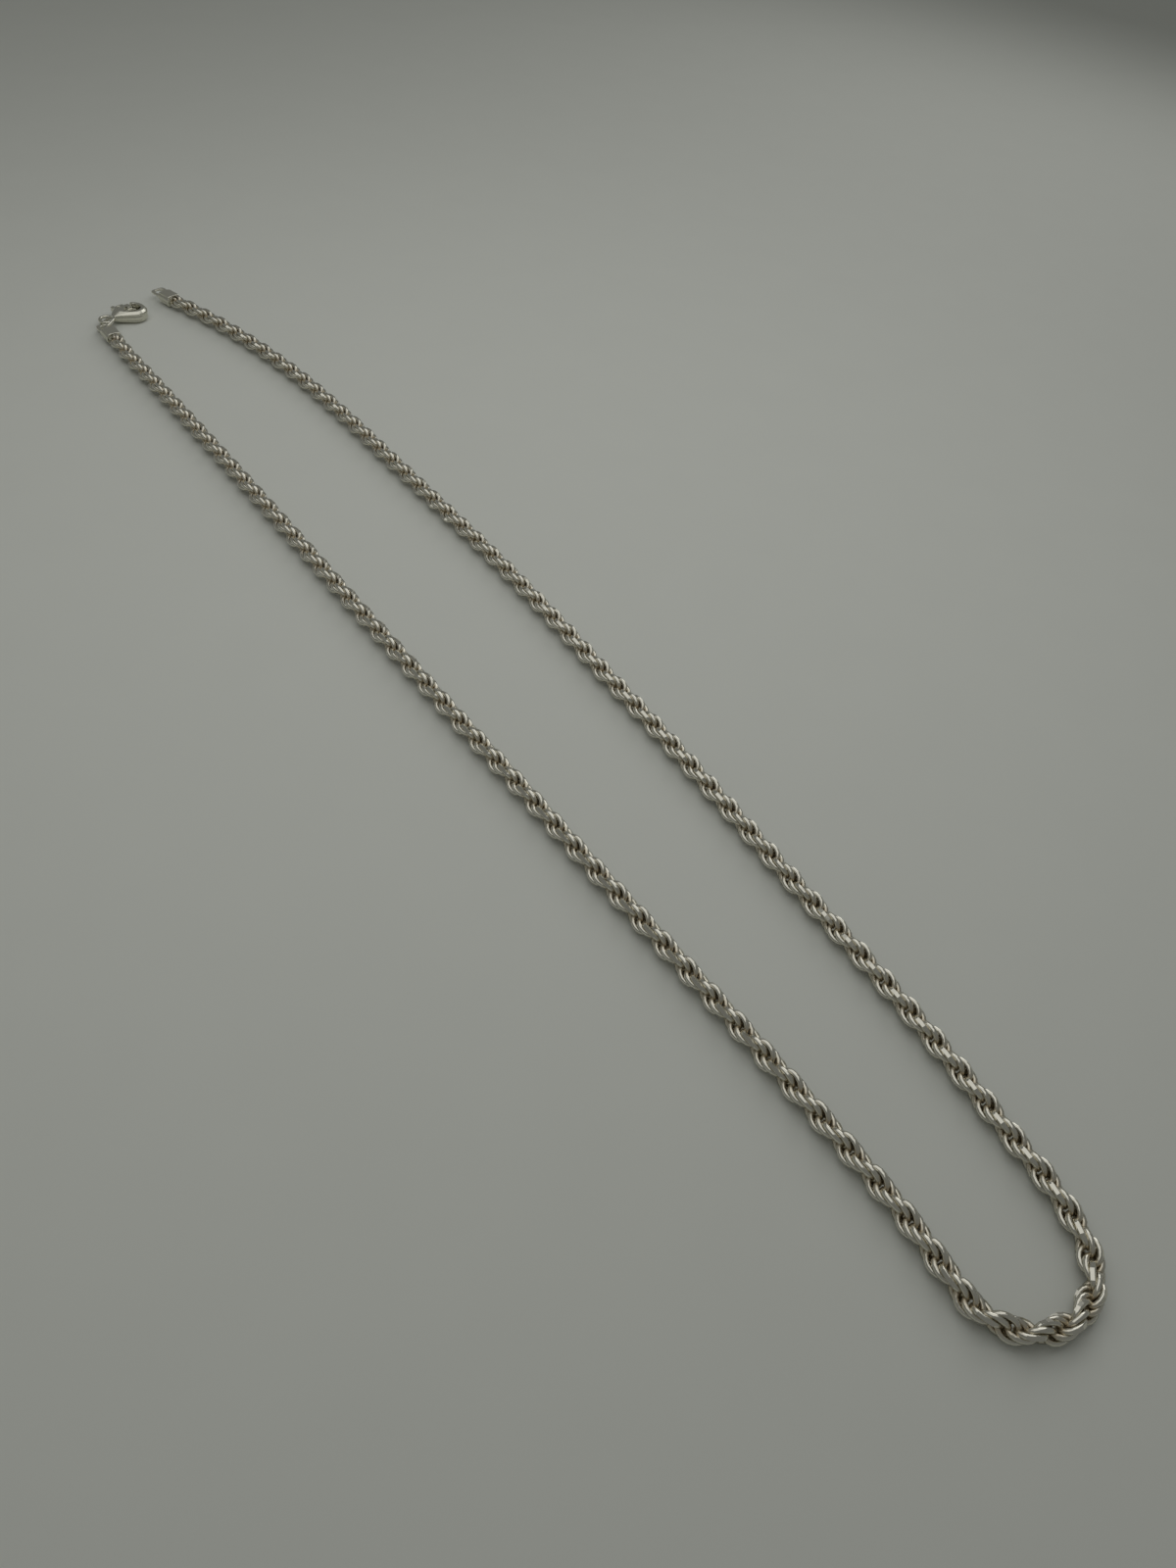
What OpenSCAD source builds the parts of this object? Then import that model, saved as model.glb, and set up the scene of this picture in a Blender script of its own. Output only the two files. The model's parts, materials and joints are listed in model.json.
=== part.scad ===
// Rope chain with a lobster clasp, unfastened and laid out as a long narrow U.
// Millimetres, +Z up, the chain rests on Z = 0 and the bend of the U points to -Y.

/* [Rope] */
// Outside diameter of the twisted rope
rope_d = 4; // [3.6:0.1:4.4]
// Width of the squeezed end links that are soldered into each end cap
rope_end_w = 3.4; // [3:0.1:3.6]
// Height of the squeezed end links
rope_end_h = 2.3; // [2:0.1:2.4]

/* [End caps] */
// Length of an end cap, from its mouth to its rounded tip
cap_l = 8.4; // [7.8:0.1:10]
// Width of an end cap
cap_w = 4.2; // [4:0.1:4.8]
// Height of an end cap at its mouth
cap_h = 3; // [2.9:0.1:3.6]
// Length over which a cap slopes down to its flat tab
cap_slope_l = 0.7; // [0.5:0.1:1]
// Length of the flat tab at the end of a cap
tab_l = 3.5; // [3.4:0.1:3.8]
// Thickness of the flat tab
tab_t = 0.6; // [0.5:0.05:0.7]
// Radius of the tab's round corners
tab_corner_r = 1; // [0.7:0.1:1.4]
// Diameter of the hole in the tab
tab_hole_d = 2.7; // [2.5:0.1:2.9]
// Distance from the middle of the hole to the tip of the tab
tab_hole_back = 2; // [1.8:0.1:2.3]
// Depth of the socket in the mouth of a cap
socket_depth = 2.8; // [2:0.1:3.2]

/* [Jump ring] */
// Diameter of the jump ring, measured along the middle of its wire
ring_d = 5.2; // [5:0.05:5.4]
// Diameter of the jump ring's wire
ring_wire_d = 0.65; // [0.55:0.05:0.7]
// Lean of the jump ring from lying flat
ring_lean = 35; // [34:0.5:37]

/* [Clasp body] */
// Length of the clasp body from the middle of the eye to the nose
clasp_l = 11.6; // [11.2:0.1:12.2]
// Width of the claw at its widest
claw_w = 7.2; // [6.8:0.1:7.6]
// Thickness of the claw
claw_t = 3.3; // [3:0.1:3.6]
// Width of the bevel along the claw's edges
claw_bevel = 0.7; // [0.4:0.1:0.8]
// Thickness of the claw's neck, where it meets the eye
neck_t = 1.4; // [1.2:0.1:1.8]
// Diameter of the eye, measured along the middle of its wire
eye_d = 3.6; // [3.5:0.05:3.8]
// Diameter of the eye's wire
eye_wire_d = 0.85; // [0.75:0.05:0.9]
// Width of the claw's wall beside and beyond the window
claw_wall = 1.6; // [1.4:0.1:1.8]

/* [Lever] */
// Thickness of the lever between the claw's cheeks
lever_t = 1.2; // [1:0.05:1.4]
// Thickness of the gate block that fills the claw's mouth
gate_t = 2.2; // [1.8:0.1:2.6]
// Diameter of the lever's pivot pin
pin_d = 0.9; // [0.8:0.05:1]
// Height of the thumb piece beyond the pivot
thumb_h = 3.3; // [3:0.1:3.6]
// Width of the mouth that the lever closes
mouth_w = 2.1; // [1.8:0.1:2.3]

/* [Fits] */
// Gap between the rope's end links and the socket, all round
socket_gap = 0.1; // [0.05:0.05:0.2]
// Gap between the pivot pin and its bore, all round
pin_gap = 0.05; // [0.03:0.01:0.08]
// Gap between the lever and each cheek, and between the lever's tip and the hook
lever_gap = 0.12; // [0.08:0.02:0.16]

/* [Hidden] */
silver = [0.78, 0.77, 0.74];
$fn = 48;

// Middle line of the rope as it lies, from the clasp end round the bend to the free end
ROUTE = [
    [-17.5, 139.5], [-17.8, 131], [-17.6, 118], [-17.4, 100], [-17.2, 80], [-17.1, 58], [-17.1, 36],
    [-17.2, 14], [-17.1, -8], [-17, -30], [-16.7, -52], [-16.6, -74], [-16.3, -96], [-16.1, -116],
    [-16.2, -132], [-16.6, -146], [-17.6, -155], [-18, -161], [-15.9, -165.7], [-11.5, -169],
    [-5.5, -169.9], [-0.6, -168], [2.8, -163.8], [5, -157.5], [6.8, -146], [8.8, -132],
    [10.6, -115], [11.8, -96], [13.6, -74], [15.2, -52], [16.3, -30], [17.5, -8], [18.1, 14], [18, 36],
    [17.8, 58], [17.6, 80], [16.6, 100], [14, 120], [10, 138], [5, 154]
];
// Turn of each cap's length from +Y, counterclockwise
clasp_cap_turn = 0;
tip_cap_turn = 12;
// Turn of the clasp's length from +X, counterclockwise
clasp_turn = 8;
// Place of the clasp's eye from the hole of its cap
eye_from_hole = [2.2, 5.15];

// Rings of the tube along each stretch of the route, and its sides
ring_step = 11;
bend_step = 4;
rope_sides = 12;
bend_y = -140;
// Room left beyond a wall by a cut that goes right through it
through = 1;

rope_r = rope_d / 2;
rope_z = rope_r;
cap_z = rope_z;
last = len(ROUTE) - 1;

// A smooth curve through the route's points: each stretch is a cubic with the slopes at its ends
function gap(i) = norm(ROUTE[i + 1] - ROUTE[i]);
function slope(i) =
    i == 0 ? (ROUTE[1] - ROUTE[0]) / gap(0) :
    i == last ? (ROUTE[last] - ROUTE[last - 1]) / gap(last - 1) :
    ((ROUTE[i + 1] - ROUTE[i]) / gap(i) * gap(i - 1) + (ROUTE[i] - ROUTE[i - 1]) / gap(i - 1) * gap(i))
    / (gap(i) + gap(i - 1));
function on_route(i, t) =
    (2 * t * t * t - 3 * t * t + 1) * ROUTE[i] + (t * t * t - 2 * t * t + t) * gap(i) * slope(i)
    + (3 * t * t - 2 * t * t * t) * ROUTE[i + 1] + (t * t * t - t * t) * gap(i) * slope(i + 1);
function steps(i) = max(1, round(gap(i) / (ROUTE[i].y < bend_y ? bend_step : ring_step)));
path = [for (i = [0 : last - 1]) for (k = [0 : steps(i) - 1]) on_route(i, k / steps(i)), ROUTE[last]];

// The box of the chain, so that the origin lies under its middle
path_x = [for (p = path) p.x];
path_y = [for (p = path) p.y];
tip_mouth = ROUTE[last];
tip_corner = cap_w / 2 - tab_corner_r;
tip_reach = (cap_l - tab_corner_r) * cos(tip_cap_turn) + tip_corner * sin(tip_cap_turn) + tab_corner_r;
middle = [
    (min(path_x) + max(path_x)) / 2,
    (min(path_y) - rope_r + tip_mouth.y + tip_reach) / 2
];

function ahead(turn) = [-sin(turn), cos(turn)];
function flat(p, z) = [p.x, p.y, z];

// One ring of the tube's corners, w wide and h high: its flats face down and sideways
function rim(p, dir, w, h) = [for (k = [0 : rope_sides - 1])
    let (a = 360 * (k + 0.5) / rope_sides, out = 0.5 / cos(180 / rope_sides))
    [p.x + dir.y * out * w * cos(a), p.y - dir.x * out * w * cos(a), rope_z + out * h * sin(a)]];

function heading(i) =
    let (d = path[min(i + 1, len(path) - 1)] - path[max(i - 1, 0)]) d / norm(d);

clasp_mouth = ROUTE[0];
stub_l = socket_depth - socket_gap;
// The rope's full width stops a small gap short of each mouth, and its end links go on into the socket
rims = concat(
    [rim(clasp_mouth + ahead(clasp_cap_turn) * stub_l, -ahead(clasp_cap_turn), rope_end_w, rope_end_h),
     rim(clasp_mouth - ahead(clasp_cap_turn) * socket_gap, -ahead(clasp_cap_turn), rope_end_w, rope_end_h),
     rim(clasp_mouth - ahead(clasp_cap_turn) * socket_gap, -ahead(clasp_cap_turn), rope_d, rope_d)],
    [for (i = [1 : len(path) - 2]) rim(path[i], heading(i), rope_d, rope_d)],
    [rim(tip_mouth - ahead(tip_cap_turn) * socket_gap, ahead(tip_cap_turn), rope_d, rope_d),
     rim(tip_mouth - ahead(tip_cap_turn) * socket_gap, ahead(tip_cap_turn), rope_end_w, rope_end_h),
     rim(tip_mouth + ahead(tip_cap_turn) * stub_l, ahead(tip_cap_turn), rope_end_w, rope_end_h)]
);

module rope_chain() {
    n = rope_sides;
    rows = len(rims);
    color(silver)
        polyhedron(
            points = [for (r = rims) each r],
            faces = concat(
                [[for (k = [0 : n - 1]) k]],
                [for (j = [0 : rows - 2]) for (k = [0 : n - 1])
                    [j * n + k, (j + 1) * n + k, (j + 1) * n + (k + 1) % n, j * n + (k + 1) % n]],
                [[for (k = [n - 1 : -1 : 0]) (rows - 1) * n + k]]
            )
        );
}

// Outline of a cap from above, along +Y from its mouth
module cap_plan() {
    translate([-cap_w / 2, 0])
        square([cap_w, cap_l - tab_corner_r]);
    translate([-tip_corner, 0])
        square([2 * tip_corner, cap_l]);
    for (side = [-1, 1])
        translate([side * tip_corner, cap_l - tab_corner_r])
            circle(r = tab_corner_r);
}

// Outline of a cap from the side: the full shell, a short slope, and the flat tab at mid height
shell_end = cap_l - tab_l - cap_slope_l;
tab_start = cap_l - tab_l;

module cap_side() {
    polygon([
        [0, -cap_h / 2], [shell_end, -cap_h / 2], [tab_start, -tab_t / 2],
        [cap_l + through, -tab_t / 2], [cap_l + through, tab_t / 2],
        [tab_start, tab_t / 2], [shell_end, cap_h / 2], [0, cap_h / 2]
    ]);
}

module cap() {
    color(silver)
        difference() {
            intersection() {
                translate([0, 0, -cap_h / 2])
                    linear_extrude(cap_h)
                        cap_plan();
                translate([-cap_w / 2, 0, 0])
                    rotate([90, 0, 90])
                        linear_extrude(cap_w)
                            cap_side();
            }
            translate([0, -through, 0])
                rotate([-90, 0, 0])
                    linear_extrude(socket_depth + through)
                        scale([rope_end_w + 2 * socket_gap, rope_end_h + 2 * socket_gap])
                            circle(d = 1);
            translate([0, cap_l - tab_hole_back, -cap_h])
                cylinder(d = tab_hole_d, h = 2 * cap_h);
        }
}

module clasp_cap() {
    translate(flat(clasp_mouth, cap_z))
        rotate(clasp_cap_turn)
            cap();
}

module tip_cap() {
    translate(flat(tip_mouth, cap_z))
        rotate(tip_cap_turn)
            cap();
}

// The clasp lies flat, its eye at eye_at, and its own X axis runs from the eye to the nose
hole_at = clasp_mouth + ahead(clasp_cap_turn) * (cap_l - tab_hole_back);
eye_at = hole_at + eye_from_hole;
eye_z = claw_t / 2;

// The jump ring passes through the hole and the eye, leaning so that it drops through both
ring_lift = 0.05;
ring_from = flat(hole_at, cap_z + ring_lift);
ring_to = flat(eye_at, eye_z);
ring_run = ring_to - ring_from;
ring_heading = atan2(ring_run.y, ring_run.x);
ring_rise = asin(ring_run.z / norm(ring_run));

module jump_ring() {
    color(silver)
        translate((ring_from + ring_to) / 2)
            rotate([0, -ring_rise, ring_heading])
                rotate([-ring_lean, 0, 0])
                    rotate_extrude()
                        translate([ring_d / 2, 0])
                            circle(d = ring_wire_d);
}

// Circles that the claw's outline is drawn round: the neck, the cheek and the nose
neck_overlap = 0.2;
neck_r = 1.2;
neck_x = eye_d / 2 + neck_r - neck_overlap;
cheek_r = 2.6;
cheek_at = [5.4, claw_w / 2 - cheek_r];
nose_r = claw_w / 2;
nose_at = [clasp_l - nose_r, 0];

module claw_outline(inset) {
    hull() {
        translate(cheek_at)
            circle(cheek_r - inset);
        translate(nose_at)
            circle(nose_r - inset);
    }
}

// The window is drawn round two circles, and the mouth opens it towards the lever's side
window_r = nose_r - claw_wall;
window_back_r = 1.4;
window_back = 1.3;
window_back_at = [nose_at.x - window_back, window_back_r + claw_wall - nose_r];
hook_overlap = 0.5;
hook_back = 0.7;
mouth_end_x = nose_at.x + hook_back;
mouth_x = mouth_end_x - mouth_w;
// Pivot of the lever, and the slot between the cheeks that it turns in
pivot = [5, 1.9];
slot_back = 1.8;
slot_y = 0.1;

module clasp_place() {
    translate(flat(eye_at, 0))
        rotate(clasp_turn)
            children();
}

module claw_block() {
    hull() {
        translate([neck_x, 0, eye_z - neck_t / 2])
            cylinder(r = neck_r, h = neck_t);
        linear_extrude(claw_t)
            claw_outline(claw_bevel);
        translate([0, 0, claw_bevel])
            linear_extrude(claw_t - 2 * claw_bevel)
                claw_outline(0);
    }
}

module eye() {
    translate([0, 0, eye_z])
        rotate_extrude()
            translate([eye_d / 2, 0])
                circle(d = eye_wire_d);
}

module window() {
    translate([0, 0, -through])
        linear_extrude(claw_t + 2 * through)
            hull() {
                translate(nose_at)
                    circle(window_r);
                translate(window_back_at)
                    circle(window_back_r);
            }
}

module mouth() {
    translate([mouth_x, slot_y, -through])
        cube([mouth_w, claw_w, claw_t + 2 * through]);
}

module lever_slot() {
    slot_t = lever_t + 2 * lever_gap;
    translate([pivot.x - slot_back, slot_y, eye_z - slot_t / 2])
        cube([mouth_x - pivot.x + slot_back + through, claw_w, slot_t]);
}

module pin_bore() {
    translate(flat(pivot, -through))
        cylinder(d = pin_d + 2 * pin_gap, h = claw_t + 2 * through);
}

module clasp_body() {
    color(silver)
        clasp_place()
            difference() {
                union() {
                    claw_block();
                    eye();
                }
                window();
                mouth();
                lever_slot();
                pin_bore();
            }
}

// The lever's gate fills the mouth and its tip ends under the hook; its heel wraps the pivot and
// its thumb piece stands out of the slot
gate_w = 1.1;
gate_tip_x = mouth_end_x + hook_overlap;
gate_y = sqrt(pow(window_r, 2) - pow(gate_tip_x - nose_at.x, 2)) - lever_gap;
// The gate's outer face lies a little below the claw's outline, and its end turns clear of the hook
gate_sink = 0.2;
gate_face_y = claw_w / 2 - gate_sink;
gate_reach = mouth_end_x - lever_gap - pivot.x;
gate_steps = 4;
function gate_end(y) = pivot + [sqrt(pow(gate_reach, 2) - pow(y - pivot.y, 2)), y - pivot.y];
// The block's back stands off the cheeks far enough to swing past them
block_back = [0.2, 0.65];
heel_r = 1;
heel_flat = 0.7;
thumb_w = 0.9;
pin_inset = 0.1;

module gate_block() {
    polygon([
        [mouth_x + block_back.y, gate_y],
        for (k = [0 : gate_steps]) gate_end(gate_y + (gate_face_y - gate_y) * k / gate_steps),
        [mouth_x + block_back.x, gate_face_y]
    ]);
}

module lever_outline() {
    polygon([
        pivot + [-heel_r, 0], pivot + [-heel_flat * heel_r, -heel_flat * heel_r], pivot + [0, -heel_r],
        [gate_tip_x, gate_y - gate_w],
        [gate_tip_x, gate_y],
        for (k = [0 : gate_steps]) gate_end(gate_y + (gate_face_y - gate_y) * k / gate_steps),
        [mouth_x, gate_face_y],
        pivot + [0.8 * thumb_w, 0.55 * thumb_h],
        pivot + [-0.2 * thumb_w, thumb_h],
        pivot + [-1.2 * thumb_w, 0.93 * thumb_h],
        pivot + [-thumb_w, 0.5 * thumb_h]
    ]);
}

module clasp_lever() {
    color(silver)
        clasp_place()
            union() {
                translate([0, 0, eye_z - lever_t / 2])
                    linear_extrude(lever_t)
                        lever_outline();
                translate([0, 0, eye_z - gate_t / 2])
                    linear_extrude(gate_t)
                        gate_block();
                translate(flat(pivot, pin_inset))
                    cylinder(d = pin_d, h = claw_t - 2 * pin_inset);
            }
}

translate([-middle.x, -middle.y, 0]) {
    rope_chain();
    clasp_cap();
    tip_cap();
    jump_ring();
    clasp_body();
    clasp_lever();
}
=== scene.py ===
import json
import math

import bmesh
import bpy
from bpy.props import FloatProperty, FloatVectorProperty, IntProperty, PointerProperty
from mathutils import Matrix, Vector


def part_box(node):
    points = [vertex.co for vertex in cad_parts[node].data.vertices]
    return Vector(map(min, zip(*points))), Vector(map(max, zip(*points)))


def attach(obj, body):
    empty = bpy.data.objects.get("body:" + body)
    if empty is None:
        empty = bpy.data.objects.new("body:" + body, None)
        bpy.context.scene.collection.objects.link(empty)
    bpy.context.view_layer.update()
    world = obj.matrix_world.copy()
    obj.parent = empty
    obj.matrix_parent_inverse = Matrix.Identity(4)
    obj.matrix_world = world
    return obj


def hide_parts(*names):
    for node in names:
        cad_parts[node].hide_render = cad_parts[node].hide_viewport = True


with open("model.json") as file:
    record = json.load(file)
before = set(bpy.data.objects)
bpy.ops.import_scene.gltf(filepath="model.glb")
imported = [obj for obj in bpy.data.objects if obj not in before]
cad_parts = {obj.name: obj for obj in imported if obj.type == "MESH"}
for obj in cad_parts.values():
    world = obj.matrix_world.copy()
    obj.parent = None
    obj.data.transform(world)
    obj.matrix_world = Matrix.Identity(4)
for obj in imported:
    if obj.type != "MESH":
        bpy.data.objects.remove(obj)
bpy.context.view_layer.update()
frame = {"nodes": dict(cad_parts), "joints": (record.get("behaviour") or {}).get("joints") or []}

bl_info = {
    "name": "Silver Rope Chain",
    "version": (1, 0, 0),
    "blender": (4, 5, 0),
    "location": "View3D > Sidebar > Rope Chain",
    "description": "Links, end caps, jump ring and lobster clasp of a silver rope chain",
    "category": "Object",
}

MM = 0.001
UP = Vector((0, 0, 1))
TINY = 1e-6        # keeps a division or a test clear of nought
MERGE_GAP = 1e-7   # metres: corners of a CAD node closer than this are one corner

# Kinds of node that are used over and over, and the Mix node's sockets for colours
MATH = "ShaderNodeMath"
VECTOR = "ShaderNodeVectorMath"
MIX_SHARE, MIX_FIRST, MIX_SECOND, MIX_RESULT = 0, 6, 7, 2

# Middle line of the rope as it lies, in metres, from the clasp end round the bend to the free end
ROUTE = [Vector(point) for point in (
    (-0.0175, 0.1395), (-0.0178, 0.131), (-0.0176, 0.118), (-0.0174, 0.1),
    (-0.0172, 0.08), (-0.0171, 0.058), (-0.0171, 0.036), (-0.0172, 0.014),
    (-0.0171, -0.008), (-0.017, -0.03), (-0.0167, -0.052), (-0.0166, -0.074),
    (-0.0163, -0.096), (-0.0161, -0.116), (-0.0162, -0.132), (-0.0166, -0.146),
    (-0.0176, -0.155), (-0.018, -0.161), (-0.0159, -0.1657), (-0.0115, -0.169),
    (-0.0055, -0.1699), (-0.0006, -0.168), (0.0028, -0.1638), (0.005, -0.1575),
    (0.0068, -0.146), (0.0088, -0.132), (0.0106, -0.115), (0.0118, -0.096),
    (0.0136, -0.074), (0.0152, -0.052), (0.0163, -0.03), (0.0175, -0.008),
    (0.0181, 0.014), (0.018, 0.036), (0.0178, 0.058), (0.0176, 0.08),
    (0.0166, 0.1), (0.014, 0.12), (0.01, 0.138), (0.005, 0.154),
)]

# Crown and back of the solder in a cap's mouth: share of its size, and millimetres into the cap
SOLDER_ROWS = ((0.0, -0.25), (0.55, -0.18), (0.85, -0.05), (1.0, 0.1), (1.0, 0.9), (0.0, 0.9))

# The rope's sizes that the link tree takes as named inputs
LINK_INPUTS = ("rope_width", "spacing", "first_half_turn", "last_half_turn", "first_turn",
               "cut_drift", "inside", "mouth_taper", "end_width", "end_height")


# ---- kinds of size


def linear(colour):
    """An sRGB hex colour as linear red, green, blue and alpha."""
    parts = [int(colour[k:k + 2], 16) / 255 for k in (1, 3, 5)]
    return tuple(p / 12.92 if p <= 0.04045 else ((p + 0.055) / 1.055) ** 2.4
                 for p in parts) + (1.0,)


def length_property(name, description, default):
    """A length in metres whose default is given in millimetres."""
    return FloatProperty(name=name, description=description, default=default * MM, min=0,
                         unit="LENGTH", precision=5)


def angle_property(name, description, default):
    """An angle whose default is given in degrees."""
    return FloatProperty(name=name, description=description, default=math.radians(default),
                         subtype="ANGLE")


def number_property(name, description, default, low=0.0, high=1.0):
    """A plain number between two limits: a share of something, unless its upper limit is over 1."""
    return FloatProperty(name=name, description=description, default=default, min=low, max=high,
                         subtype="FACTOR" if high == 1 else "NONE")


def count_property(name, description, default, low):
    """A whole number."""
    return IntProperty(name=name, description=description, default=default, min=low)


def place_property(name, description, default):
    """A place in metres."""
    return FloatVectorProperty(name=name, description=description, default=default, size=3,
                               subtype="TRANSLATION", unit="LENGTH", precision=4)


def colour_property(name, description, default):
    """A colour whose default is given as sRGB hex."""
    return FloatVectorProperty(name=name, description=description, default=linear(default), size=4,
                               subtype="COLOR", min=0, max=1)


class RopeSizes(bpy.types.PropertyGroup):
    """Sizes of the links and of their twist."""
    rope_width: length_property("Rope width", "Outside diameter of the finished rope", 4.0)
    uncut_width: length_property("Uncut width", "Width over the links before the cutting", 4.25)
    link_width: length_property("Link width", "Outside width of a link across the rope", 4.02)
    link_length: length_property("Link length", "Outside length of a link along the rope", 5.0)
    wire: length_property("Wire", "Diameter of the links' wire", 0.95)
    flattening: number_property("Flattening", "How flat the wire is on its outer side", 0.25)
    spacing: length_property("Link spacing", "Distance from link to link along the rope", 1.238)
    first_half_turn: length_property("First half turn", "Length of one by the clasp", 6.211)
    last_half_turn: length_property("Last half turn", "Length of one by the free end", 6.17)
    first_turn: angle_property("First turn", "Turn of the first link about the rope", 21.7)
    flat_pairs: count_property("Pairs of flats", "Pairs of facing flats round the rope", 4, 1)
    cut_drift: angle_property("Cut drift", "Turn of the rows of flats from end to end", 97)
    inside: length_property("Inside", "Length of the rope's middle line inside each cap", 1.2)
    mouth_taper: length_property("Mouth taper", "Way from a mouth to links of full width", 0.9)
    end_width: number_property("End width", "Share of its width that an end link keeps", 0.86)
    end_height: number_property("End height", "Share of its height that an end link keeps", 0.62)
    link_sides: count_property("Link sides", "Straight pieces round a link", 16, 8)
    wire_sides: count_property("Wire sides", "Sides of the wire", 6, 5)
    route_step: length_property("Route step", "Rough distance between the line's points", 1.0)


class FindingSizes(bpy.types.PropertyGroup):
    """Sizes of the finish on the caps, the jump ring and the clasp."""
    cap_cell: length_property("Cap cell", "Cell of the mesh that rounds the caps", 0.09)
    cap_rounds: count_property("Cap rounds", "Times that the caps' mesh is smoothed", 32, 0)
    cap_section: number_property("Cap section", "2 for an oval section, more for a squarer one",
                                 2.7, 2, 20)
    solder_width: length_property("Solder width", "Width of the solder in a cap's mouth", 3.5)
    solder_height: length_property("Solder height", "Height of the solder in a mouth", 2.4)
    solder_sink: length_property("Solder sink", "Depth of the solder's rim in a mouth", 0.3)
    solder_sides: count_property("Solder sides", "Corners round the solder", 32, 8)
    ring_joint: length_property("Ring joint", "Gap between the jump ring's butted ends", 0.06)
    ring_steps: count_property("Ring steps", "Straight pieces round the jump ring", 72, 12)
    ring_sides: count_property("Ring sides", "Sides of the jump ring's wire", 20, 6)
    clasp_cell: length_property("Clasp cell", "Cell of the mesh that rounds the clasp", 0.085)
    claw_rounds: count_property("Claw rounds", "Times that the claw's mesh is smoothed", 26, 0)
    lever_rounds: count_property("Lever rounds", "Times that the lever's mesh is smoothed", 8, 0)
    clasp_turn: angle_property("Clasp turn", "Turn of the clasp's length from the X axis", 8)
    pivot_along: length_property("Pivot along", "From the eye to the pivot, lengthwise", 5.0)
    pivot_aside: length_property("Pivot aside", "From the eye to the pivot, crosswise", 1.9)
    groove_depth: length_property("Groove depth", "Depth of the grooves in the back", 0.14)
    groove_width: length_property("Groove width", "Half width of a groove", 0.22)
    groove_low: length_property("Low groove", "Height of the lower groove", 1.05)
    groove_high: length_property("High groove", "Height of the upper groove", 2.2)
    groove_start: length_property("Groove start", "From the eye to where they start", 1.2)
    groove_rise: length_property("Groove rise", "Way in which they reach their depth", 1.2)
    groove_end: length_property("Groove end", "From the eye to where the grooves end", 9.0)
    groove_fall: length_property("Groove fall", "Way in which they run out", 0.8)
    collar_place: length_property("Collar place", "From the eye to the collar line", 9.5)
    collar_width: length_property("Collar width", "Half width of the collar line", 0.16)
    collar_share: number_property("Collar share", "Its share of the grooves' depth", 0.8)
    back_from: number_property("Back from", "Sideways slope at which the back begins", 0.55)
    back_blend: number_property("Back blend", "Change of slope to the full depth", 0.25, TINY)


class SilverLooks(bpy.types.PropertyGroup):
    """Colours and polish of the silver."""
    bright: colour_property("Bright silver", "Colour of the polished wire", "#dddacd")
    # The recess colour and its reach: painted shade, with a thin tarnish, on the links towards the
    # rope's middle
    shade_and_tarnish: colour_property("Recess", "Colour of the tarnish between the links", "#cdc2ab")
    cast: colour_property("Cast silver", "Colour of the clasp and the caps", "#dcdacc")
    shade_and_tarnish_reach: number_property("Recess reach", "Share of the radius that is tarnished", 0.35)
    bright_reach: number_property("Bright reach", "Share of it where all is polished", 0.82)
    recess_rough: number_property("Recess roughness", "Roughness between the links", 0.38)
    wire_rough: number_property("Wire roughness", "Roughness of the links' crests", 0.14)
    ring_rough: number_property("Ring roughness", "Roughness of the jump ring", 0.12)
    cap_rough: number_property("Cap roughness", "Roughness of the caps", 0.33)
    clasp_rough: number_property("Clasp roughness", "Roughness of the clasp", 0.24)
    skin_grain: length_property("Skin grain", "Width of the waves in the skin", 1.1111)
    skin_depth: length_property("Skin depth", "Depth of the waves in the skin", 0.04)
    skin_share: number_property("Skin share", "Share of that depth that shows", 0.25)


class StudioSizes(bpy.types.PropertyGroup):
    """The floor, the light and the camera."""
    floor: colour_property("Floor", "Colour of the matt card under the chain", "#dcded6")
    floor_width: length_property("Floor width", "Side of the square card", 6000)
    floor_rough: number_property("Floor roughness", "Roughness of the card", 0.75)
    mottle_size: length_property("Mottle size", "Width of the card's faint patches", 16.667)
    mottle_share: number_property("Mottle", "How much darker the darkest patches are", 0.03)
    window_glow: number_property("Window", "Brightness of the soft light aside", 1.05, 0, 100)
    window_at: place_property("Window place", "Middle of that light", (0.48, 0.192, 0.336))
    window_to: place_property("Window aim", "What that light faces", (0.0, 0.0, 0.02))
    window_width: length_property("Window width", "Width of that light", 380)
    window_height: length_property("Window height", "Height of that light", 300)
    ceiling_glow: number_property("Ceiling", "Brightness of the soft light above", 0.55, 0, 100)
    ceiling_at: place_property("Ceiling place", "Middle of that light", (0.008, 0.04, 0.252))
    ceiling_to: place_property("Ceiling aim", "What that light faces", (0.008, 0.04, 0.0))
    ceiling_width: length_property("Ceiling width", "Width of that light", 370)
    ceiling_height: length_property("Ceiling length", "Length of that light", 380)
    air: number_property("Air", "Strength of the even light from all round", 0.18, 0, 100)
    air_colour: colour_property("Air colour", "Colour of the even light", "#f2f4f0")
    lens: FloatProperty(name="Lens", description="Focal length in millimetres, for a film 36 mm "
                        "wide", default=27.04, min=1, unit="CAMERA")
    camera_at: place_property("Camera place", "The photographer's place",
                              (-0.109988, -0.160712, 0.16))
    camera_pitch: angle_property("Camera pitch", "Turn of the camera about X", 43.5131)
    camera_roll: angle_property("Camera roll", "Turn of the camera about Y", -6.5027)
    camera_swing: angle_property("Camera swing", "Turn of the camera about Z", -36.6467)


# ---- small helpers


def add(tree, kind, inputs=(), **settings):
    """Adds a node with its settings. Its inputs, in order or by name, each take a value, a socket
    or the first output of another node."""
    node = tree.nodes.new(kind)
    for name, value in settings.items():
        setattr(node, name, value)
    for key, value in inputs.items() if isinstance(inputs, dict) else enumerate(inputs):
        if isinstance(value, bpy.types.Node):
            value = value.outputs[0]
        if isinstance(value, bpy.types.NodeSocket):
            tree.links.new(value, node.inputs[key])
        else:
            node.inputs[key].default_value = value
    return node


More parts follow.
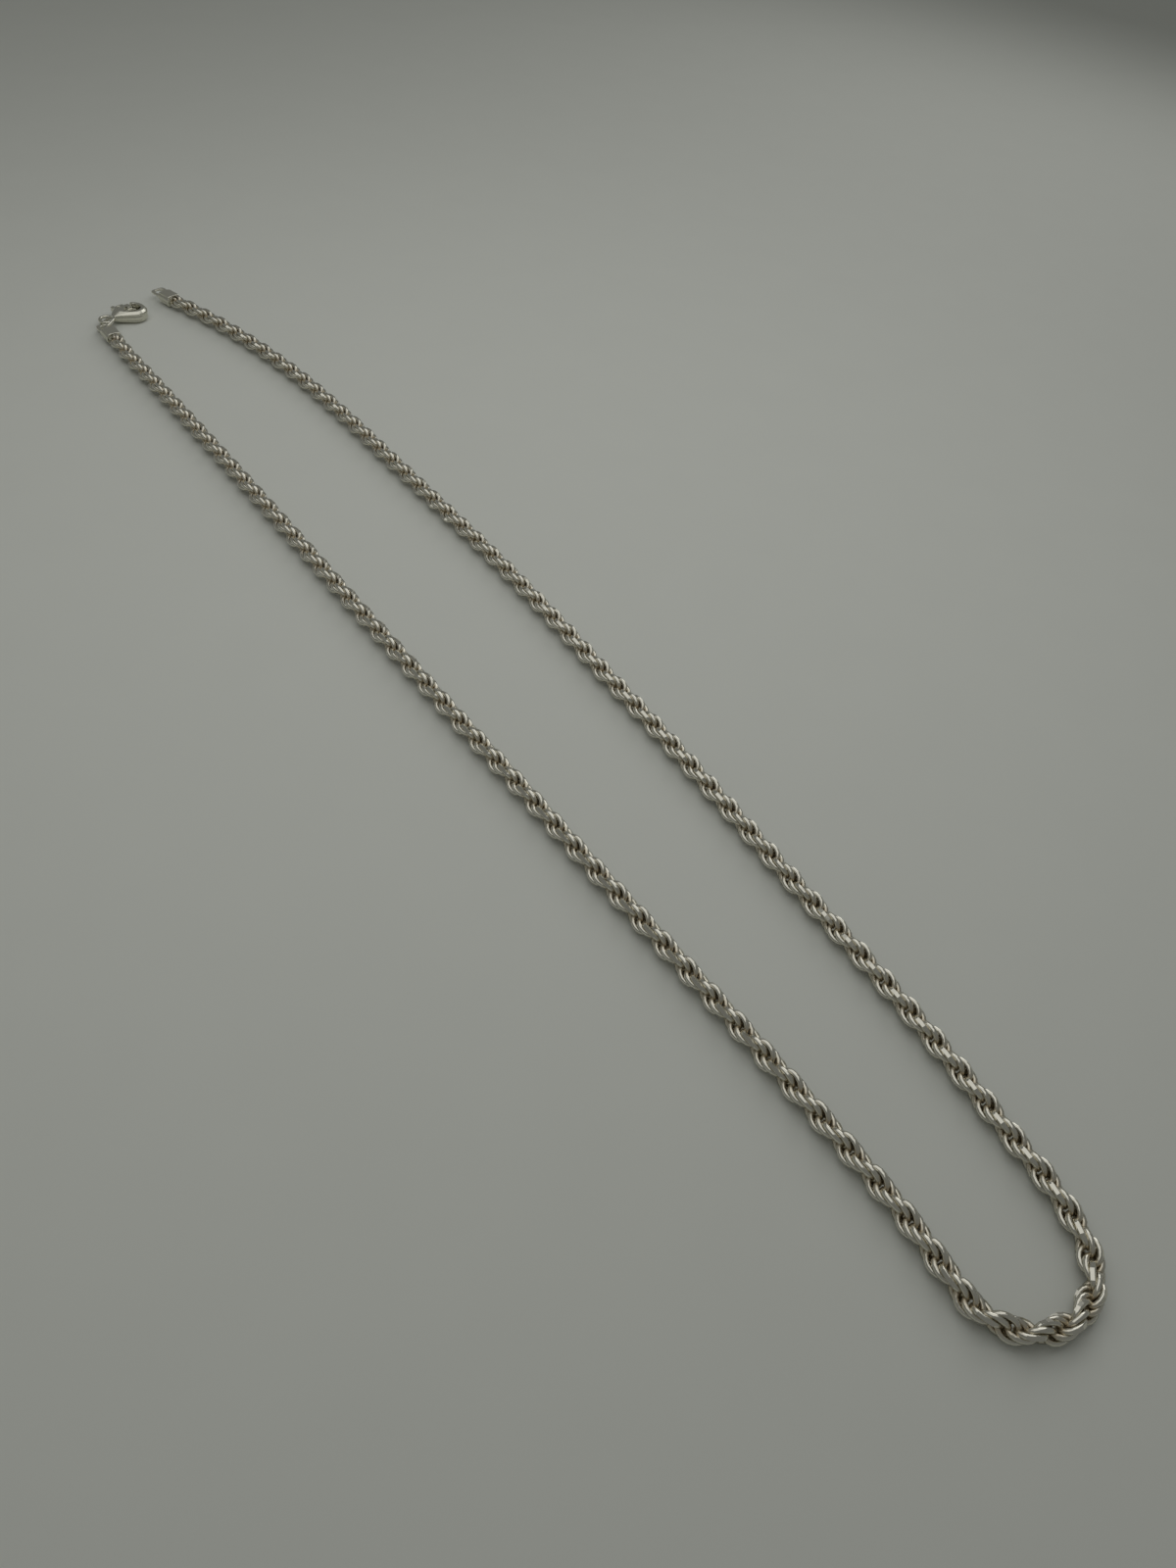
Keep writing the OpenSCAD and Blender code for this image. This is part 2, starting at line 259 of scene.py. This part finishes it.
def new_object(name, mesh):
    """A mesh as an object at the origin."""
    made = bpy.data.objects.new(name, mesh)
    bpy.context.scene.collection.objects.link(made)
    return made


def plain_mesh(obj, name):
    """The evaluated object as a plain object at the origin, with the first one removed."""
    graph = bpy.context.evaluated_depsgraph_get()
    mesh = bpy.data.meshes.new_from_object(obj.evaluated_get(graph))
    mesh.name = name
    bpy.data.objects.remove(obj)
    if not mesh.polygons:
        raise RuntimeError(f"{name} came out empty")
    return new_object(name, mesh)


def outward_mesh(form, name):
    """A bmesh as a mesh whose faces point outwards."""
    bmesh.ops.recalc_face_normals(form, faces=form.faces)
    mesh = bpy.data.meshes.new(name)
    form.to_mesh(mesh)
    form.free()
    return mesh


def loft(name, rows, joined=False):
    """A closed skin over rows of corners, joined end to end or with a face on each end. A row of
    one corner is a pole."""
    form = bmesh.new()
    hoops = [[form.verts.new(corner) for corner in row] for row in rows]
    pairs = list(zip(hoops, hoops[1:]))
    if joined:
        pairs.append((hoops[-1], hoops[0]))
    for one, two in pairs:
        for k in range(max(len(one), len(two))):
            corners = (one[k % len(one)], one[(k + 1) % len(one)],
                       two[(k + 1) % len(two)], two[k % len(two)])
            form.faces.new(tuple(dict.fromkeys(corners)))
    if not joined:
        for hoop in (hoops[0], hoops[-1]):
            if len(hoop) > 1:
                form.faces.new(hoop)
    return outward_mesh(form, name)


def circle(sides, start=0.0):
    """Angles evenly round a circle."""
    return [2 * math.pi * (k + start) / sides for k in range(sides)]


def place(obj, body, node, material):
    """Gives a finished piece its material and its body, and hides the CAD node it stands for."""
    obj.data.materials.clear()
    obj.data.materials.append(material)
    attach(obj, body)
    if node:
        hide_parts(node)


# ---- rope


def rope_path(step, inside):
    """Points along the rope's middle line in the row frame, about a step apart. The first and the
    last lie inside the caps, and the ones next to them in the caps' mouths."""
    low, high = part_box("clasp_cap")
    shift = Vector(((low.x + high.x) / 2, low.y)) - ROUTE[0]
    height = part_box("rope_chain")[1].z / 2
    gaps = [(b - a).length for a, b in zip(ROUTE, ROUTE[1:])]
    runs = [(b - a) / g for a, b, g in zip(ROUTE, ROUTE[1:], gaps)]
    slopes = [runs[0]]
    for i in range(1, len(runs)):
        before, after = gaps[i - 1], gaps[i]
        slopes.append((runs[i] * before + runs[i - 1] * after) / (after + before))
    slopes.append(runs[-1])
    points = [ROUTE[0] - slopes[0] * inside]
    for i, gap in enumerate(gaps):
        count = max(1, round(gap / step))
        for k in range(count):
            t = k / count
            points.append((2 * t ** 3 - 3 * t ** 2 + 1) * ROUTE[i]
                          + (t ** 3 - 2 * t ** 2 + t) * gap * slopes[i]
                          + (3 * t ** 2 - 2 * t ** 3) * ROUTE[i + 1]
                          + (t ** 3 - t ** 2) * gap * slopes[i + 1])
    points += [ROUTE[-1], ROUTE[-1] + slopes[-1] * inside]
    return [Vector((p.x + shift.x, p.y + shift.y, height)) for p in points]


def link_form(sizes):
    """One link: a long ring of slightly flattened wire, standing off the rope's line."""
    wire_r = sizes.wire / 2
    half_w, half_l = sizes.link_width / 2 - wire_r, sizes.link_length / 2 - wire_r
    offset = Vector(((sizes.uncut_width - sizes.link_width) / 2, 0, 0))
    rows = []
    for a in circle(sizes.link_sides, 0.5):
        middle = Vector((half_w * math.cos(a), 0, half_l * math.sin(a)))
        out = Vector((half_l * math.cos(a), 0, half_w * math.sin(a))).normalized()
        turns = [b + sizes.flattening * math.sin(b) for b in circle(sizes.wire_sides, 0.5)]
        rows.append([middle + wire_r * (out * math.cos(b) + Vector((0, math.sin(b), 0))) + offset
                     for b in turns])
    return bpy.data.objects.new("link", loft("link", rows, joined=True))


def input_name(size):
    """The name of a size among the link tree's inputs."""
    return size.replace("_", " ").title()


def kept_values(pairs):
    """What each link's corners have to know of its point, by name, with the kind of value."""
    return {"axis_at": "FLOAT_VECTOR", "rope_ahead": "FLOAT_VECTOR", "along": "FLOAT",
            **{f"cut_{k}": "FLOAT_VECTOR" for k in range(pairs)}}


def link_points(tree, given, pairs):
    """A point for each link with the kept values, the links' turns and the line's length."""
    line = add(tree, "GeometryNodeMeshToCurve", {"Mesh": given["Route"]})
    total = add(tree, "GeometryNodeCurveLength", {"Curve": line})
    ratio = add(tree, MATH, (total, given["Spacing"]), operation="DIVIDE")
    gaps = add(tree, MATH, (ratio,), operation="ROUND")
    count = add(tree, MATH, (gaps, 1.0), operation="ADD")
    spots = add(tree, "GeometryNodeCurveToPoints", {"Curve": line, "Count": count}, mode="COUNT")
    ahead = spots.outputs["Tangent"]
    index = add(tree, "GeometryNodeInputIndex")
    gap = add(tree, MATH, (total, gaps), operation="DIVIDE")
    along = add(tree, MATH, (index, gap), operation="MULTIPLY")
    share = add(tree, MATH, (along, total), operation="DIVIDE")

    # Half turns up to each point: their number for each metre changes evenly from end to end
    first = add(tree, MATH, (1.0, given["First Half Turn"]), operation="DIVIDE")
    last = add(tree, MATH, (1.0, given["Last Half Turn"]), operation="DIVIDE")
    change = add(tree, MATH, (last, first), operation="SUBTRACT")
    half_share = add(tree, MATH, (share, 0.5), operation="MULTIPLY")
    mean = add(tree, MATH, (change, half_share, first), operation="MULTIPLY_ADD")
    twisted = add(tree, MATH, (along, mean), operation="MULTIPLY")

    # Each link faces away from the one before it, less what the rope has twisted
    flips = add(tree, MATH, (index, twisted), operation="SUBTRACT")
    flipped = add(tree, MATH, (flips, math.pi), operation="MULTIPLY")
    link_angle = add(tree, MATH, (flipped, given["First Turn"]), operation="ADD")
    row_angle = add(tree, MATH, (given["Cut Drift"], share), operation="MULTIPLY")
    upright = add(tree, "FunctionNodeAxesToRotation",
                  {"Primary Axis": ahead, "Secondary Axis": tuple(UP)},
                  primary_axis="Z", secondary_axis="X")
    turned = []
    for angle in (link_angle, row_angle):
        spin = add(tree, "FunctionNodeAxisAngleToRotation", {"Axis": tuple(UP), "Angle": angle})
        turned.append(add(tree, "FunctionNodeRotateRotation",
                          {"Rotation": upright, "Rotate By": spin}, rotation_space="LOCAL"))
    link_turn, row_turn = turned

    values = {"axis_at": add(tree, "GeometryNodeInputPosition"), "rope_ahead": ahead,
              "along": along}
    for k in range(pairs):
        turn = math.radians(180 / pairs * k)
        values[f"cut_{k}"] = add(tree, "FunctionNodeRotateVector", {
            "Vector": (math.cos(turn), math.sin(turn), 0.0), "Rotation": row_turn})
    points = spots.outputs["Points"]
    for name, kind in kept_values(pairs).items():
        points = add(tree, "GeometryNodeStoreNamedAttribute",
                     {"Geometry": points, "Name": name, "Value": values[name]},
                     data_type=kind, domain="POINT")
    return points, link_turn, total


def finished_corners(tree, given, total, pairs):
    """Where each corner of a link ends up, how far out it stood and how much was cut there."""
    seen = {name: add(tree, "GeometryNodeInputNamedAttribute", {"Name": name}, data_type=kind)
            for name, kind in kept_values(pairs).items()}
    corner = add(tree, "GeometryNodeInputPosition")
    reach = add(tree, VECTOR, (corner, seen["axis_at"]), operation="SUBTRACT")
    half = add(tree, MATH, (given["Rope Width"], 0.5), operation="MULTIPLY")

    # Flats: what stands beyond a row's plane is laid on it
    low = add(tree, MATH, (half, -1.0), operation="MULTIPLY")
    moved, cut = reach, 0.0
    for k in range(pairs):
        normal = seen[f"cut_{k}"]
        height = add(tree, VECTOR, (reach, normal), operation="DOT_PRODUCT").outputs["Value"]
        clamped = add(tree, "ShaderNodeClamp", {"Value": height, "Min": low, "Max": half})
        over = add(tree, MATH, (clamped, height), operation="SUBTRACT")
        step = add(tree, VECTOR, {0: normal, "Scale": over}, operation="SCALE")
        moved = add(tree, VECTOR, (moved, step), operation="ADD")
        amount = add(tree, MATH, (over,), operation="ABSOLUTE")
        cut = add(tree, MATH, (cut, amount), operation="ADD")

    # Between the flats the crests are polished down to the finished width
    ahead = seen["rope_ahead"]
    ran = add(tree, VECTOR, (reach, ahead), operation="DOT_PRODUCT").outputs["Value"]
    run = add(tree, VECTOR, {0: ahead, "Scale": ran}, operation="SCALE")
    radial = add(tree, VECTOR, (moved, run), operation="SUBTRACT")
    radius = add(tree, VECTOR, (radial,), operation="LENGTH").outputs["Value"]
    safe = add(tree, MATH, (radius, TINY), operation="MAXIMUM")
    room = add(tree, MATH, (half, safe), operation="DIVIDE")
    kept_share = add(tree, MATH, (1.0, room), operation="MINIMUM")
    polished = add(tree, VECTOR, {0: radial, "Scale": kept_share}, operation="SCALE")

    # What enters a cap is squeezed flat
    at = add(tree, MATH, (seen["along"], ran), operation="ADD")
    left = add(tree, MATH, (total, at), operation="SUBTRACT")
    nearer = add(tree, MATH, (at, left), operation="MINIMUM")
    outside = add(tree, MATH, (nearer, given["Inside"]), operation="SUBTRACT")
    wide, high = (add(tree, "ShaderNodeMapRange",
                      {"Value": outside, "From Min": 0.0, "From Max": given["Mouth Taper"],
                       "To Min": given[end_share], "To Max": 1.0},
                      interpolation_type="SMOOTHSTEP") for end_share in ("End Width", "End Height"))
    shape = add(tree, "ShaderNodeCombineXYZ", (wide, wide, high))
    squeezed = add(tree, VECTOR, (polished, shape), operation="MULTIPLY")
    from_axis = add(tree, VECTOR, (run, squeezed), operation="ADD")
    finished = add(tree, VECTOR, (seen["axis_at"], from_axis), operation="ADD")

    uncut = add(tree, VECTOR, (reach, run), operation="SUBTRACT")
    stood = add(tree, VECTOR, (uncut,), operation="LENGTH").outputs["Value"]
    outness = add(tree, MATH, (stood, half), operation="DIVIDE")
    return finished, outness, cut


def link_tree(sizes, material):
    """Geometry nodes that set turned links along a line, cut rows of flats along them, polish
    their crests and squeeze the ends."""
    tree = bpy.data.node_groups.new("Rope links", "GeometryNodeTree")
    sockets = tree.interface
    sockets.new_socket("Route", in_out="INPUT", socket_type="NodeSocketGeometry")
    sockets.new_socket("Link", in_out="INPUT", socket_type="NodeSocketObject")
    for size in LINK_INPUTS:
        sockets.new_socket(input_name(size), in_out="INPUT", socket_type="NodeSocketFloat")
    sockets.new_socket("Links", in_out="OUTPUT", socket_type="NodeSocketGeometry")
    given = add(tree, "NodeGroupInput").outputs

    points, turn, total = link_points(tree, given, sizes.flat_pairs)
    link = add(tree, "GeometryNodeObjectInfo", {"Object": given["Link"]}).outputs["Geometry"]
    links = add(tree, "GeometryNodeInstanceOnPoints",
                {"Points": points, "Instance": link, "Rotation": turn})
    body = add(tree, "GeometryNodeRealizeInstances", {"Geometry": links})
    finished, outness, cut = finished_corners(tree, given, total, sizes.flat_pairs)
    # outness later sets the painted shade between the links in the wire's material
    for name, value in (("outness", outness), ("cut", cut)):
        body = add(tree, "GeometryNodeStoreNamedAttribute",
                   {"Geometry": body, "Name": name, "Value": value},
                   data_type="FLOAT", domain="POINT")
    body = add(tree, "GeometryNodeSetPosition", {"Geometry": body, "Position": finished})

    # A face is flat where all its corners were cut, and smooth elsewhere
    was_cut = add(tree, "GeometryNodeInputNamedAttribute", {"Name": "cut"}, data_type="FLOAT")
    is_cut = add(tree, MATH, (was_cut, TINY), operation="GREATER_THAN")
    on_face = add(tree, "GeometryNodeFieldOnDomain", {"Value": is_cut},
                  domain="FACE", data_type="FLOAT")
    all_cut = add(tree, MATH, (on_face, 0.99), operation="GREATER_THAN")
    body = add(tree, "GeometryNodeSetShadeSmooth", {"Geometry": body, "Shade Smooth": True})
    body = add(tree, "GeometryNodeSetShadeSmooth",
               {"Geometry": body, "Selection": all_cut, "Shade Smooth": False})
    for name in (*kept_values(sizes.flat_pairs), "cut"):
        body = add(tree, "GeometryNodeRemoveAttribute", {"Geometry": body, "Name": name})
    body = add(tree, "GeometryNodeSetMaterial", {"Geometry": body, "Material": material})
    add(tree, "NodeGroupOutput", {"Links": body})
    return tree


# ---- materials


def new_material(name, roughness=0.5):
    """A fresh material with its node tree and its shader."""
    material = bpy.data.materials.new(name)
    material.use_nodes = True
    shader = material.node_tree.nodes["Principled BSDF"]
    shader.inputs["Roughness"].default_value = roughness
    return material, material.node_tree, shader


def silver_wire(looks):
    """Drawn sterling silver wire, diamond-cut and polished: white and mirror-bright on the crests,
    yellow-grey deep between the links, a painted shade with a thin tarnish."""
    material, tree, shader = new_material("drawn sterling silver, diamond cut")
    # Painted shade: the links are coloured darker and browner towards the rope's middle, with a
    # thin tarnish, while their crests keep the bright colour
    outness = add(tree, "ShaderNodeAttribute", attribute_name="outness").outputs["Fac"]
    reach = {"Value": outness, "From Min": looks.shade_and_tarnish_reach, "From Max": looks.bright_reach}
    unshaded_share = add(tree, "ShaderNodeMapRange", reach)
    colour = add(tree, "ShaderNodeMix", {MIX_SHARE: unshaded_share, MIX_FIRST: tuple(looks.shade_and_tarnish),
                                         MIX_SECOND: tuple(looks.bright)}, data_type="RGBA")
    rough = add(tree, "ShaderNodeMapRange",
                {**reach, "To Min": looks.recess_rough, "To Max": looks.wire_rough})
    tree.links.new(colour.outputs[MIX_RESULT], shader.inputs["Base Color"])
    tree.links.new(rough.outputs[0], shader.inputs["Roughness"])
    shader.inputs["Metallic"].default_value = 1.0
    return material


def silver_finding(name, colour, roughness, looks):
    """Sterling silver worked bright: clear reflections that waver over a faintly uneven skin. The
    real skin's waves are finer, and are drawn this wide so that they show."""
    material, tree, shader = new_material(name, roughness)
    shader.inputs["Base Color"].default_value = tuple(colour)
    shader.inputs["Metallic"].default_value = 1.0
    where = add(tree, "ShaderNodeTexCoord").outputs["Object"]
    skin = add(tree, "ShaderNodeTexNoise",
               {"Vector": where, "Scale": 1 / looks.skin_grain, "Detail": 3.0}).outputs["Fac"]
    bump = add(tree, "ShaderNodeBump", {"Strength": looks.skin_share,
                                        "Distance": looks.skin_depth, "Height": skin})
    tree.links.new(bump.outputs[0], shader.inputs["Normal"])
    return material


def matt_card(studio):
    """Matt painted card: an even pale grey with no gloss and a very faint mottle."""
    material, tree, shader = new_material("matt white card", studio.floor_rough)
    where = add(tree, "ShaderNodeTexCoord").outputs["Object"]
    mottle = add(tree, "ShaderNodeTexNoise", {"Vector": where, "Scale": 1 / studio.mottle_size,
                                              "Detail": 4.0}).outputs["Fac"]
    darker = tuple(c * (1 - studio.mottle_share) for c in studio.floor[:3]) + (1.0,)
    colour = add(tree, "ShaderNodeMix", {MIX_SHARE: mottle, MIX_FIRST: darker,
                                         MIX_SECOND: tuple(studio.floor)}, data_type="RGBA")
    tree.links.new(colour.outputs[MIX_RESULT], shader.inputs["Base Color"])
    return material


# ---- findings


def rounded(node, name, cell, rounds):
    """A copy of a CAD node whose edges are rounded as casting and tumbling round them. It is
    meshed anew in millimetres, because the cells are too small in metres."""
    form = bmesh.new()
    form.from_mesh(frame["nodes"][node].data)
    bmesh.ops.remove_doubles(form, verts=form.verts, dist=MERGE_GAP)
    block = new_object(name + "_block", outward_mesh(form, name + "_block"))
    block.data.transform(Matrix.Scale(1 / MM, 4))
    cells = block.modifiers.new("cells", "REMESH")
    cells.mode = "VOXEL"
    cells.voxel_size = cell / MM
    soften = block.modifiers.new("soften", "SMOOTH")
    soften.iterations = rounds
    made = plain_mesh(block, name)
    made.data.transform(Matrix.Scale(MM, 4))
    made.data.shade_smooth()
    return made


def cushion(mesh, mouth, inwards, section):
    """Draws in a cap's long edges, so that its section is a rounded square about the rope."""
    across = inwards.cross(UP)
    reaches = [((v.co - mouth).dot(across), v.co.z - mouth.z) for v in mesh.vertices]
    half_w, half_h = (max(abs(reach[k]) for reach in reaches) for k in (0, 1))
    for vertex, (side, rise) in zip(mesh.vertices, reaches):
        y, z = abs(side) / half_w, abs(rise) / half_h
        edge = (y ** section + z ** section) ** (1 / section)
        if edge > 0:
            vertex.co -= (across * side + UP * rise) * (1 - max(y, z) / edge)
    mesh.update()


def solder_mesh(name, mouth, inwards, sizes):
    """A crowned oval of solder a little inside a cap's mouth, round the end links."""
    half_w, half_h = inwards.cross(UP) * (sizes.solder_width / 2), UP * (sizes.solder_height / 2)
    rows = []
    for share, depth in SOLDER_ROWS:
        middle = mouth + inwards * (sizes.solder_sink + depth * MM)
        rows.append([middle + share * (half_w * math.cos(a) + half_h * math.sin(a))
                     for a in (circle(sizes.solder_sides) if share else [0.0])])
    mesh = loft(name, rows)
    mesh.shade_smooth()
    return mesh


def thin_axis(corners, middle):
    """The direction in which a ring's corners spread least: the ring's axis."""
    spread = Matrix(((0.0,) * 3,) * 3)
    for away in (corner - middle for corner in corners):
        for r in range(3):
            for c in range(3):
                spread[r][c] += away[r] * away[c]
    largest = max(max(row) for row in spread)
    inverse = (spread * (1 / largest) + Matrix.Identity(3) * TINY).inverted()
    axis = UP.copy()
    for _ in range(60):    # far more rounds than the axis needs to settle
        axis = (inverse @ axis).normalized()
    return axis


def ring_mesh(node, name, sizes):
    """A round wire ring in the place of a CAD ring, with its butted ends a small gap apart."""
    corners = [v.co for v in frame["nodes"][node].data.vertices]
    middle = sum(corners, Vector()) / len(corners)
    axis = thin_axis(corners, middle)
    radii = [(d - d.dot(axis) * axis).length for d in (c - middle for c in corners)]
    outer, inner = max(radii), min(radii)
    ring_r, wire_r = (outer + inner) / 2, (outer - inner) / 2
    side = axis.orthogonal().normalized()
    other = axis.cross(side)
    spare = sizes.ring_joint / ring_r
    rows = []
    for i in range(sizes.ring_steps + 1):
        a = spare / 2 + (2 * math.pi - spare) * i / sizes.ring_steps + math.pi
        out = side * math.cos(a) + other * math.sin(a)
        rows.append([middle + out * (ring_r + wire_r * math.cos(b)) + axis * wire_r * math.sin(b)
                     for b in circle(sizes.ring_sides)])
    mesh = loft(name, rows)
    mesh.shade_smooth()
    return mesh


def clasp_frame(sizes):
    """The place of the clasp's eye and of its own axes, from the lever's pivot."""
    pivot = Vector(frame["joints"][0]["pos_m"])
    turn = Matrix.Rotation(sizes.clasp_turn, 4, "Z")
    eye = pivot - turn @ Vector((sizes.pivot_along, sizes.pivot_aside, 0))
    return Matrix.Translation(Vector((eye.x, eye.y, 0))) @ turn


def ramp(value, start, way):
    """0 up to the start, 1 from the whole way past it, and even between."""
    return min(1.0, max(0.0, (value - start) / way))


def dip(value, middle, half_width):
    """1 in the middle, falling smoothly to 0 a few half widths away."""
    return math.exp(-((value - middle) / half_width) ** 2)


def groove_back(mesh, sizes):
    """Presses two lengthwise grooves and a collar line into the back of the claw."""
    local = clasp_frame(sizes).inverted()
    turn = local.to_3x3()
    pressed = []
    for vertex, normal in zip(mesh.vertices, [n.vector.copy() for n in mesh.vertex_normals]):
        at = local @ vertex.co
        back = ramp(-(turn @ normal).y, sizes.back_from, sizes.back_blend)
        reach = (ramp(at.x, sizes.groove_start, sizes.groove_rise)
                 * (1 - ramp(at.x, sizes.groove_end - sizes.groove_fall, sizes.groove_fall)))
        grooves = (dip(at.z, sizes.groove_low, sizes.groove_width)
                   + dip(at.z, sizes.groove_high, sizes.groove_width))
        collar = sizes.collar_share * dip(at.x, sizes.collar_place, sizes.collar_width)
        depth = (grooves * reach + collar) * back * sizes.groove_depth
        pressed.append(vertex.co - normal * depth)
    mesh.vertices.foreach_set("co", [c for corner in pressed for c in corner])
    mesh.update()


# ---- operators


class CHAIN_OT_stage(bpy.types.Operator):
    """Sets out the floor, the light and the camera"""
    bl_idname = "rope_chain.stage"
    bl_label = "Stage"

    def execute(self, context):
        studio = context.scene.chain_studio
        scene = context.scene
        scene.view_settings.view_transform = "Standard"
        half = studio.floor_width / 2
        mesh = bpy.data.meshes.new("floor")
        mesh.from_pydata([(-half, -half, 0), (half, -half, 0), (half, half, 0), (-half, half, 0)],
                         [], [(0, 1, 2, 3)])
        mesh.materials.append(matt_card(studio))
        new_object("floor", mesh)

        def soft_light(name, at, towards, width, height, glow):
            """A glowing panel, whose strength doesn't change with its size."""
            light = bpy.data.lights.new(name, "AREA")
            light.shape = "RECTANGLE"
            light.size, light.size_y = width, height
            light.energy = glow * math.pi * width * height
            lamp = bpy.data.objects.new(name, light)
            lamp.location = at
            facing = Vector(towards) - Vector(at)
            lamp.rotation_euler = facing.to_track_quat("-Z", "Y").to_euler()
            scene.collection.objects.link(lamp)

        soft_light("window", studio.window_at, studio.window_to, studio.window_width,
                   studio.window_height, studio.window_glow)
        soft_light("ceiling", studio.ceiling_at, studio.ceiling_to, studio.ceiling_width,
                   studio.ceiling_height, studio.ceiling_glow)

        world = bpy.data.worlds.new("even air")
        world.use_nodes = True
        air = world.node_tree.nodes["Background"].inputs
        air["Color"].default_value = tuple(studio.air_colour)
        air["Strength"].default_value = studio.air
        scene.world = world

        view = bpy.data.cameras.new("camera")
        view.lens = studio.lens
        view.sensor_width = 36.0
        view.clip_start, view.clip_end = 0.01, 20.0
        camera = bpy.data.objects.new("camera", view)
        camera.location = studio.camera_at
        camera.rotation_euler = (studio.camera_pitch, studio.camera_roll, studio.camera_swing)
        scene.collection.objects.link(camera)
        scene.camera = camera
        return {"FINISHED"}


class CHAIN_OT_rope(bpy.types.Operator):
    """Makes the rope's interlocked links along its route"""
    bl_idname = "rope_chain.rope"
    bl_label = "Rope links"

    def execute(self, context):
        sizes = context.scene.chain_rope
        points = rope_path(sizes.route_step, sizes.inside)
        line = bpy.data.meshes.new("route")
        line.from_pydata(points, [(i, i + 1) for i in range(len(points) - 1)], [])
        route = new_object("route", line)
        material = silver_wire(context.scene.chain_silver)
        tree = link_tree(sizes, material)
        setter = route.modifiers.new("links", "NODES")
        setter.node_group = tree
        link = link_form(sizes)
        values = {"Link": link, **{input_name(size): getattr(sizes, size) for size in LINK_INPUTS}}
        for socket in tree.interface.items_tree:
            if socket.in_out == "INPUT" and socket.name in values:
                setter[socket.identifier] = values[socket.name]
        rope = plain_mesh(route, "rope_links")
        bpy.data.objects.remove(link)
        place(rope, "chain", "rope_chain", material)
        return {"FINISHED"}


class CHAIN_OT_caps(bpy.types.Operator):
    """Makes the two end caps and the solder in their mouths"""
    bl_idname = "rope_chain.caps"
    bl_label = "End caps"

    def execute(self, context):
        rope, sizes = context.scene.chain_rope, context.scene.chain_findings
        looks = context.scene.chain_silver
        # Stamped from sheet and polished last: broad, soft reflections
        silver = silver_finding("stamped sterling silver, polished", looks.cast, looks.cap_rough,
                                looks)
        path = rope_path(rope.route_step, rope.inside)
        for node, end, mouth, within in (("clasp_cap", "clasp_end", path[1], path[0]),
                                         ("tip_cap", "tip_end", path[-2], path[-1])):
            inwards = (within - mouth).normalized()
            cap = rounded(node, end + "_cap", sizes.cap_cell, sizes.cap_rounds)
            cushion(cap.data, mouth, inwards, sizes.cap_section)
            place(cap, "chain", node, silver)
            name = end + "_solder"
            solder = new_object(name, solder_mesh(name, mouth, inwards, sizes))
            place(solder, "chain", None, silver)
        return {"FINISHED"}


class CHAIN_OT_ring(bpy.types.Operator):
    """Makes the jump ring"""
    bl_idname = "rope_chain.ring"
    bl_label = "Jump ring"

    def execute(self, context):
        looks = context.scene.chain_silver
        # Smooth drawn wire: the sharpest reflections of all
        silver = silver_finding("drawn sterling silver, polished", looks.bright, looks.ring_rough,
                                looks)
        name = "clasp_jump_ring"
        ring = new_object(name, ring_mesh("jump_ring", name, context.scene.chain_findings))
        place(ring, "chain", "jump_ring", silver)
        return {"FINISHED"}


class CHAIN_OT_clasp(bpy.types.Operator):
    """Makes the clasp's claw and its lever"""
    bl_idname = "rope_chain.clasp"
    bl_label = "Clasp"

    def execute(self, context):
        sizes, looks = context.scene.chain_findings, context.scene.chain_silver
        # Cast, then tumbled with steel shot: bright, but softer than the wire
        silver = silver_finding("cast sterling silver, tumbled", looks.cast, looks.clasp_rough,
                                looks)
        claw = rounded("clasp_body", "clasp_claw", sizes.clasp_cell, sizes.claw_rounds)
        groove_back(claw.data, sizes)
        place(claw, "chain", "clasp_body", silver)
        lever = rounded("clasp_lever", "clasp_trigger", sizes.clasp_cell, sizes.lever_rounds)
        place(lever, "lever", "clasp_lever", silver)
        return {"FINISHED"}


class CHAIN_PT_panel(bpy.types.Panel):
    """Lists the sizes and the pieces"""
    bl_idname = "CHAIN_PT_panel"
    bl_label = "Rope Chain"
    bl_space_type = "VIEW_3D"
    bl_region_type = "UI"
    bl_category = "Rope Chain"

    def draw(self, context):
        for name in GROUPS:
            group = getattr(context.scene, name)
            box = self.layout.box()
            for size in group.__annotations__:
                box.prop(group, size)
        for operator in OPERATORS:
            self.layout.operator(operator.bl_idname)


GROUPS = {"chain_rope": RopeSizes, "chain_findings": FindingSizes, "chain_silver": SilverLooks,
          "chain_studio": StudioSizes}
OPERATORS = (CHAIN_OT_stage, CHAIN_OT_rope, CHAIN_OT_caps, CHAIN_OT_ring, CHAIN_OT_clasp)
CLASSES = (*GROUPS.values(), *OPERATORS, CHAIN_PT_panel)


def register():
    for cls in CLASSES:
        bpy.utils.register_class(cls)
    for name, group in GROUPS.items():
        setattr(bpy.types.Scene, name, PointerProperty(type=group))


def unregister():
    for name in GROUPS:
        delattr(bpy.types.Scene, name)
    for cls in reversed(CLASSES):
        bpy.utils.unregister_class(cls)


def main():
    """Registers the add-on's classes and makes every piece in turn."""
    register()
    bpy.ops.rope_chain.stage()
    bpy.ops.rope_chain.rope()
    bpy.ops.rope_chain.caps()
    bpy.ops.rope_chain.ring()
    bpy.ops.rope_chain.clasp()


if __name__ == "__main__":
    main()
